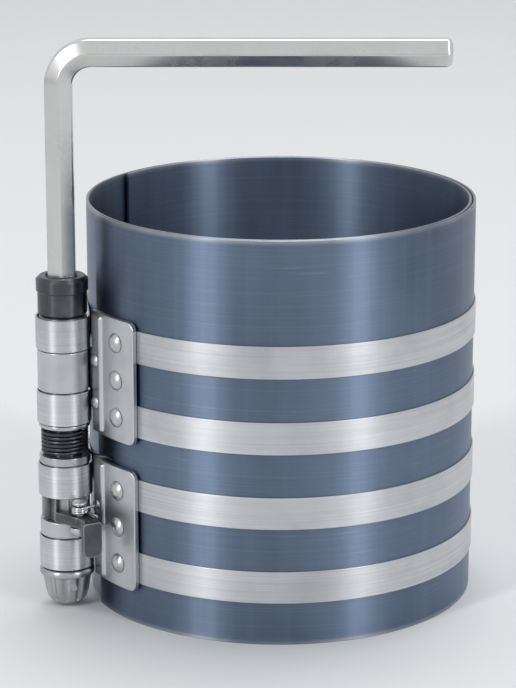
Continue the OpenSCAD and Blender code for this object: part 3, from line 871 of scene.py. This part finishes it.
class RINGTOOL_OT_spindle(bpy.types.Operator):
    """Finishes the spindle and the spring seats"""

    bl_idname = "ringtool.spindle"
    bl_label = "Spindle and Seats"

    def execute(self, context):
        column, colours = context.scene.ring_column, context.scene.ring_colours
        bar = bevelled_copy("spindle", "turned_spindle", column.edge)
        finish = black_oxide("oiled_spindle", colours, gloss=0.24, wear=0.9, turned=0.8)
        settle(bar, "spindle_body", "spindle_steel", finish, "spindle")
        seats = turned_steel("turned_seat", colours, shade=1.0, gloss=0.24)
        for place in ("upper", "lower"):
            seat = bevelled_copy(f"{place}_washer", f"{place}_spring_seat", column.edge)
            settle(seat, "spindle_body", "washer_steel", seats, f"{place}_washer")
        return {"FINISHED"}


def round_thumb(pawl):
    """Rounds the corners of the pawl's thumb tab, most at its free end."""
    column = bpy.context.scene.ring_column
    low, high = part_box("pawl")
    tail = math.atan2(SPINDLE_AXIS.y, SPINDLE_AXIS.x) + column.thumb_turn
    out = Vector((math.cos(tail), math.sin(tail), 0))
    side = Vector((-out.y, out.x, 0))
    tab_start, tab_side = 4.4 * MM, 1.5 * MM
    for level, radius in ((low.z, column.thumb_round), (high.z, column.thumb_top)):
        for way in (1, -1):
            pick(pawl, lambda at: abs(at.z - level) < NEAR and (at - PAWL_AXIS).dot(out) > tab_start
                 and way * (at - PAWL_AXIS).dot(side) > tab_side)
            bpy.ops.mesh.bevel(offset=radius, segments=6, affect="EDGES")
    open_in_edit(pawl)
    bpy.ops.mesh.remove_doubles(threshold=3 * HAIR)


class RINGTOOL_OT_ratchet(bpy.types.Operator):
    """Finishes the ratchet wheel and its pawl"""

    bl_idname = "ringtool.ratchet"
    bl_label = "Ratchet and Pawl"

    def execute(self, context):
        column, colours = context.scene.ring_column, context.scene.ring_colours
        wheel = bevelled_copy("ratchet_wheel", "toothed_wheel", column.tooth_edge)
        finish = turned_steel("hardened_wheel", colours, shade=0.7, gloss=0.3)
        settle(wheel, "spindle_body", "ratchet_steel", finish, "ratchet_wheel")
        pawl = bevelled_copy("pawl", "locking_pawl", column.edge, round_thumb)
        finish = black_oxide("oiled_pawl", colours, gloss=0.3, wear=0.9)
        settle(pawl, "pawl_body", "pawl_steel", finish, "pawl")
        return {"FINISHED"}


def ring_point(axis, radius, turn, height, forward=0.0):
    """A point on a ring round an axis, or off it along the ring's tangent."""
    across = Vector((math.cos(turn), math.sin(turn), 0))
    along = Vector((-across.y, across.x, 0))
    return Vector((axis.x, axis.y, height)) + across * radius + along * forward


def coil(axis, radius, start, turns, low, high, each=20):
    """Points of a rising coil, against the clock."""
    count = round(turns * each)
    return [ring_point(axis, radius, start + FULL_TURN * i / each, low + (high - low) * i / count)
            for i in range(count + 1)]


def smooth_run(points, steps=4):
    """A smooth line through points."""
    ends = [2 * points[0] - points[1], *points, 2 * points[-1] - points[-2]]
    line = []
    for a, b, c, d in zip(ends, ends[1:], ends[2:], ends[3:]):
        for t in (k / steps for k in range(steps)):
            line.append((2 * b + (c - a) * t + (2 * a - 5 * b + 4 * c - d) * t ** 2
                         + (3 * b - a - 3 * c + d) * t ** 3) / 2)
    return [*line, points[-1]]


class RINGTOOL_OT_springs(bpy.types.Operator):
    """Coils the opening spring and the pawl spring"""

    bl_idname = "ringtool.springs"
    bl_label = "Springs"

    def execute(self, context):
        column, colours = context.scene.ring_column, context.scene.ring_colours
        sizes = context.scene.ring_sleeve
        centres, radii, _ = spiral(sizes)
        outward = math.atan2(SPINDLE_AXIS.y, SPINDLE_AXIS.x)
        low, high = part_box("coil_spring")
        bottom, top = low.z + column.coil_wire, high.z - column.coil_wire
        clear = 0.05 * MM
        seat = radii[0] + centres[0].length + sizes.sheet + column.coil_wire + clear
        flat = math.sqrt(seat ** 2 - column.tail ** 2)
        inner = SPINDLE_AXIS.length - column.coil
        run = [(column.tail, flat), (column.tail - 1.2 * MM, flat + 0.25 * MM),
               (5.2 * MM, inner - 0.35 * MM), (3.2 * MM, inner - clear)]
        tail = [ring_point(Vector(), out, outward, bottom, side) for side, out in run]
        coils = coil(SPINDLE_AXIS, column.coil, outward + math.pi, column.coil_turns, bottom, top)
        spring = wire("opening_spring", smooth_run(tail + coils), column.coil_wire)
        finish = tempered_wire("oiled_wire", list(colours.spring), gloss=0.26)
        settle(spring, "sleeve_body", "spring_wire", finish, "coil_spring")
        low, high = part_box("pawl_spring")
        bottom, top = low.z + column.pawl_wire, high.z - column.pawl_wire
        to_pawl = PAWL_AXIS - SPINDLE_AXIS
        first = math.atan2(to_pawl.y, to_pawl.x) + column.pawl_start
        last = first + FULL_TURN * column.pawl_turns
        nose = [ring_point(PAWL_AXIS, column.pawl_coil, first, bottom, -reach * MM)
                for reach in (3.6, 1.8)]
        legs = [ring_point(PAWL_AXIS, column.pawl_coil, last, top, reach * MM)
                for reach in (1.2, 2.4)]
        coils = coil(PAWL_AXIS, column.pawl_coil, first, column.pawl_turns, bottom, top, each=16)
        small = wire("pawl_return_spring", smooth_run(nose + coils + legs), column.pawl_wire)
        finish = tempered_wire("bright_wire", list(colours.rivet), gloss=0.2)
        settle(small, "sleeve_body", "pawl_spring_wire", finish, "pawl_spring")
        return {"FINISHED"}


def press_flutes(knob, low, high, column):
    """Presses round flutes into the knob between two heights, deepest in their middles."""
    pitch = FULL_TURN / column.flutes
    step = pitch / FLUTE_POINTS

    def off_middle(at):
        """Angle from a point to the middle of its nearest flute."""
        turn = math.atan2(at.y - SPINDLE_AXIS.y, at.x - SPINDLE_AXIS.x) - math.pi / 2
        return abs(math.remainder(turn, pitch))

    for k in range(FLUTE_HALF):
        depth = math.sqrt(column.flute ** 2 - (k * column.flute_step) ** 2) - column.flute_out
        pick(knob, lambda at: low < at.z < high and abs(off_middle(at) - k * step) < step / 4)
        scale_about(SPINDLE_AXIS, 1 - depth / column.flute_ring)


class RINGTOOL_OT_knob(bpy.types.Operator):
    """Turns the finger knob, presses its flutes and drills it for the pin"""

    bl_idname = "ringtool.knob"
    bl_label = "Finger Knob"

    def execute(self, context):
        column, colours = context.scene.ring_column, context.scene.ring_colours
        low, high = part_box("knob")
        rim, top = (high.x - low.x) / 2, high.z
        steps = [(rim - inset * MM, low.z + up * MM) for inset, up in KNOB_LOWER]
        steps += [(rim - inset * MM, top - down * MM) for inset, down in KNOB_UPPER]
        radius, height = steps[0]
        deselect()
        bpy.ops.mesh.primitive_circle_add(vertices=FLUTE_POINTS * column.flutes, radius=radius,
                                          fill_type="NGON",
                                          location=(SPINDLE_AXIS.x, SPINDLE_AXIS.y, low.z))
        knob = named("fluted_knob")
        open_in_edit(knob)
        for wider, higher in steps[1:]:
            run_on((0, 0, higher - height))
            scale_about(SPINDLE_AXIS, wider / radius)
            radius, height = wider, higher
        press_flutes(knob, low.z + column.flute_low, top - column.flute_high, column)
        close_up(knob)
        apply_modifier(knob, "BEVEL", width=column.tooth_edge, segments=2, limit_method="ANGLE",
                       angle_limit=math.radians(30))
        low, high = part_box("knob_pin")
        hole = (high.z - low.z) / 2 + column.pin_fit
        deselect()
        bpy.ops.mesh.primitive_cylinder_add(vertices=48, radius=hole, depth=3 * rim,
                                            location=(low + high) / 2,
                                            rotation=(math.pi / 2, 0, column.pin_angle))
        drill = named("pin_drill")
        apply_modifier(knob, "BOOLEAN", operation="DIFFERENCE", object=drill, solver="EXACT")
        bpy.data.objects.remove(drill)
        smooth(knob, math.radians(32))
        finish = turned_steel("turned_knob", colours, shade=0.95, gloss=0.24)
        settle(knob, "spindle_body", "knob_steel", finish, "knob")
        return {"FINISHED"}


class RINGTOOL_OT_key(bpy.types.Operator):
    """Bends the hexagonal key from a drawn bar and rounds its ends"""

    bl_idname = "ringtool.key"
    bl_label = "Hexagonal Key"

    def execute(self, context):
        sizes = context.scene.ring_key
        low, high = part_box("hex_key")
        bend_start = high.z - sizes.flats / 2 - sizes.bend
        tip = 1 - sizes.chamfer * math.sqrt(3) / sizes.flats
        deselect()
        bpy.ops.mesh.primitive_circle_add(vertices=6, radius=sizes.flats / math.sqrt(3),
                                          fill_type="NGON",
                                          location=(SPINDLE_AXIS.x, SPINDLE_AXIS.y, low.z))
        key = named("drawn_key")
        open_in_edit(key)
        bpy.ops.mesh.bevel(offset=sizes.edge, segments=3, affect="VERTICES")
        bpy.ops.mesh.select_all(action="SELECT")
        scale_about(SPINDLE_AXIS, tip)
        run_on((0, 0, sizes.chamfer))
        scale_about(SPINDLE_AXIS, 1 / tip)
        run_on((0, 0, bend_start - low.z - sizes.chamfer))
        bpy.ops.mesh.spin(steps=KEY_STEPS, angle=math.pi / 2, axis=(0, -1, 0),
                          center=(SPINDLE_AXIS.x + sizes.bend, SPINDLE_AXIS.y, bend_start))
        end = Vector((high.x - sizes.nose, SPINDLE_AXIS.y, high.z - sizes.flats / 2))
        run_on((end.x - SPINDLE_AXIS.x - sizes.bend, 0, 0))
        share = 1
        for reach, narrower in KEY_NOSE:
            further = high.x - sizes.nose + reach * MM
            run_on((further - end.x, 0, 0))
            end.x = further
            scale_about(end, narrower / share, flat=(0, 1, 1))
            share = narrower
        close_up(key)
        settle(key, "key_body", "key_plate", nickel_plate(context.scene.ring_colours), "hex_key")
        return {"FINISHED"}


def plain_floor(colours):
    """A matt pale floor."""
    finish = Finish("plain_floor", metallic=0.0)
    speck = finish.noise((30, 30, 30), 2)
    finish.set("Base Color", finish.mix(speck * 0.04, colours.floor, [c * 0.9 for c in colours.floor]))
    finish.set("Roughness", 0.8 + speck * 0.1)
    finish.set("Specular IOR Level", 0.1)
    return finish.material


def soft_lamp(name, at, target, width, height, watts):
    """A soft box that points at the object."""
    lamp = bpy.data.lights.new(name, "AREA")
    lamp.shape = "RECTANGLE"
    lamp.size = width
    lamp.size_y = height
    lamp.energy = watts
    lamp.spread = LAMP_SPREAD
    holder = bpy.data.objects.new(name, lamp)
    bpy.context.scene.collection.objects.link(holder)
    holder.location = at
    holder.rotation_euler = (target - Vector(at)).to_track_quat("-Z", "Y").to_euler()


def pale_world(scene):
    """A pale surround that metal reflects, with less of it as light."""
    colours, sizes = scene.ring_colours, scene.ring_stage
    scene.world = bpy.data.worlds.new("pale_surround")
    scene.world.use_nodes = True
    tree = scene.world.node_tree
    tree.nodes.clear()
    end = tree.nodes.new("ShaderNodeOutputWorld")
    light = tree.nodes.new("ShaderNodeBackground")
    light.inputs["Color"].default_value = (*colours.ambient, 1)
    light.inputs["Strength"].default_value = sizes.ambient
    seen = tree.nodes.new("ShaderNodeBackground")
    seen.inputs["Color"].default_value = (*colours.floor, 1)
    seen.inputs["Strength"].default_value = sizes.surround
    rays = tree.nodes.new("ShaderNodeLightPath")
    total = rays.outputs["Is Camera Ray"]
    for name in ("Is Glossy Ray", "Is Transmission Ray"):
        adds = tree.nodes.new("ShaderNodeMath")
        tree.links.new(total, adds.inputs[0])
        tree.links.new(rays.outputs[name], adds.inputs[1])
        total = adds.outputs[0]
    mix = tree.nodes.new("ShaderNodeMixShader")
    tree.links.new(total, mix.inputs[0])
    tree.links.new(light.outputs[0], mix.inputs[1])
    tree.links.new(seen.outputs[0], mix.inputs[2])
    tree.links.new(mix.outputs[0], end.inputs["Surface"])


class RINGTOOL_OT_stage(bpy.types.Operator):
    """Sets the floor, the soft lamps, the pale surround and the camera"""

    bl_idname = "ringtool.stage"
    bl_label = "Stage"

    def execute(self, context):
        scene, sizes = context.scene, context.scene.ring_stage
        low, high = CAD_BOX
        deselect()
        bpy.ops.mesh.primitive_plane_add(size=2 * sizes.floor_reach,
                                         location=(0, 0, low.z - sizes.floor_gap))
        floor = named("floor")
        floor.data.materials.append(plain_floor(scene.ring_colours))
        middle = (low + high) / 2
        for name, place, width, height, watts in LAMPS:
            soft_lamp(name, place, middle, width, height, watts)
        pale_world(scene)
        view = bpy.data.cameras.new("view")
        view.lens = sizes.lens
        view.sensor_width = SENSOR_MM
        view.sensor_fit = "AUTO"
        eye = bpy.data.objects.new("view", view)
        scene.collection.objects.link(eye)
        back = Vector((0, -math.cos(sizes.elevation), math.sin(sizes.elevation)))
        up = Vector((0, math.sin(sizes.elevation), math.cos(sizes.elevation)))
        top = up.dot(Vector((0, SPINDLE_AXIS.y, high.z)))
        bottom = up.dot(Vector((0, low.y, low.z)))
        aim = Vector((middle.x, 0, (top + bottom) / 2 / up.z))
        eye.location = aim + back * (sizes.view_height * sizes.lens / view.sensor_width)
        eye.rotation_euler = (-back).to_track_quat("-Z", "Y").to_euler()
        view.clip_start = 0.01
        view.clip_end = 50
        scene.camera = eye
        scene.view_settings.view_transform = "Standard"
        return {"FINISHED"}


PIECES = (RINGTOOL_OT_sleeve, RINGTOOL_OT_bands, RINGTOOL_OT_windings, RINGTOOL_OT_brackets,
          RINGTOOL_OT_rivets, RINGTOOL_OT_spindle, RINGTOOL_OT_ratchet, RINGTOOL_OT_springs,
          RINGTOOL_OT_knob, RINGTOOL_OT_key, RINGTOOL_OT_stage)
GROUPS = {"ring_sleeve": SleeveSizes, "ring_column": ColumnSizes, "ring_key": KeySizes,
          "ring_colours": FinishColours, "ring_stage": StageSizes}


class RINGTOOL_PT_panel(bpy.types.Panel):
    """Lists the steps that build the tool"""

    bl_idname = "RINGTOOL_PT_panel"
    bl_label = "Ring Tool"
    bl_space_type = "VIEW_3D"
    bl_region_type = "UI"
    bl_category = "Ring Tool"

    def draw(self, context):
        for step in PIECES:
            self.layout.operator(step.bl_idname)


def register():
    """Makes the size groups, the steps and the panel known to Blender."""
    for group in GROUPS.values():
        bpy.utils.register_class(group)
    for name, group in GROUPS.items():
        setattr(bpy.types.Scene, name, PointerProperty(type=group))
    for kind in (*PIECES, RINGTOOL_PT_panel):
        bpy.utils.register_class(kind)


def unregister():
    """Takes them out again, in the other order."""
    for kind in (RINGTOOL_PT_panel, *reversed(PIECES)):
        bpy.utils.unregister_class(kind)
    for name, group in GROUPS.items():
        delattr(bpy.types.Scene, name)
        bpy.utils.unregister_class(group)


def main():
    """Registers the steps, then builds every piece and the stage."""
    register()
    for step in PIECES:
        family, name = step.bl_idname.split(".")
        getattr(getattr(bpy.ops, family), name)()


if __name__ == "__main__":
    main()
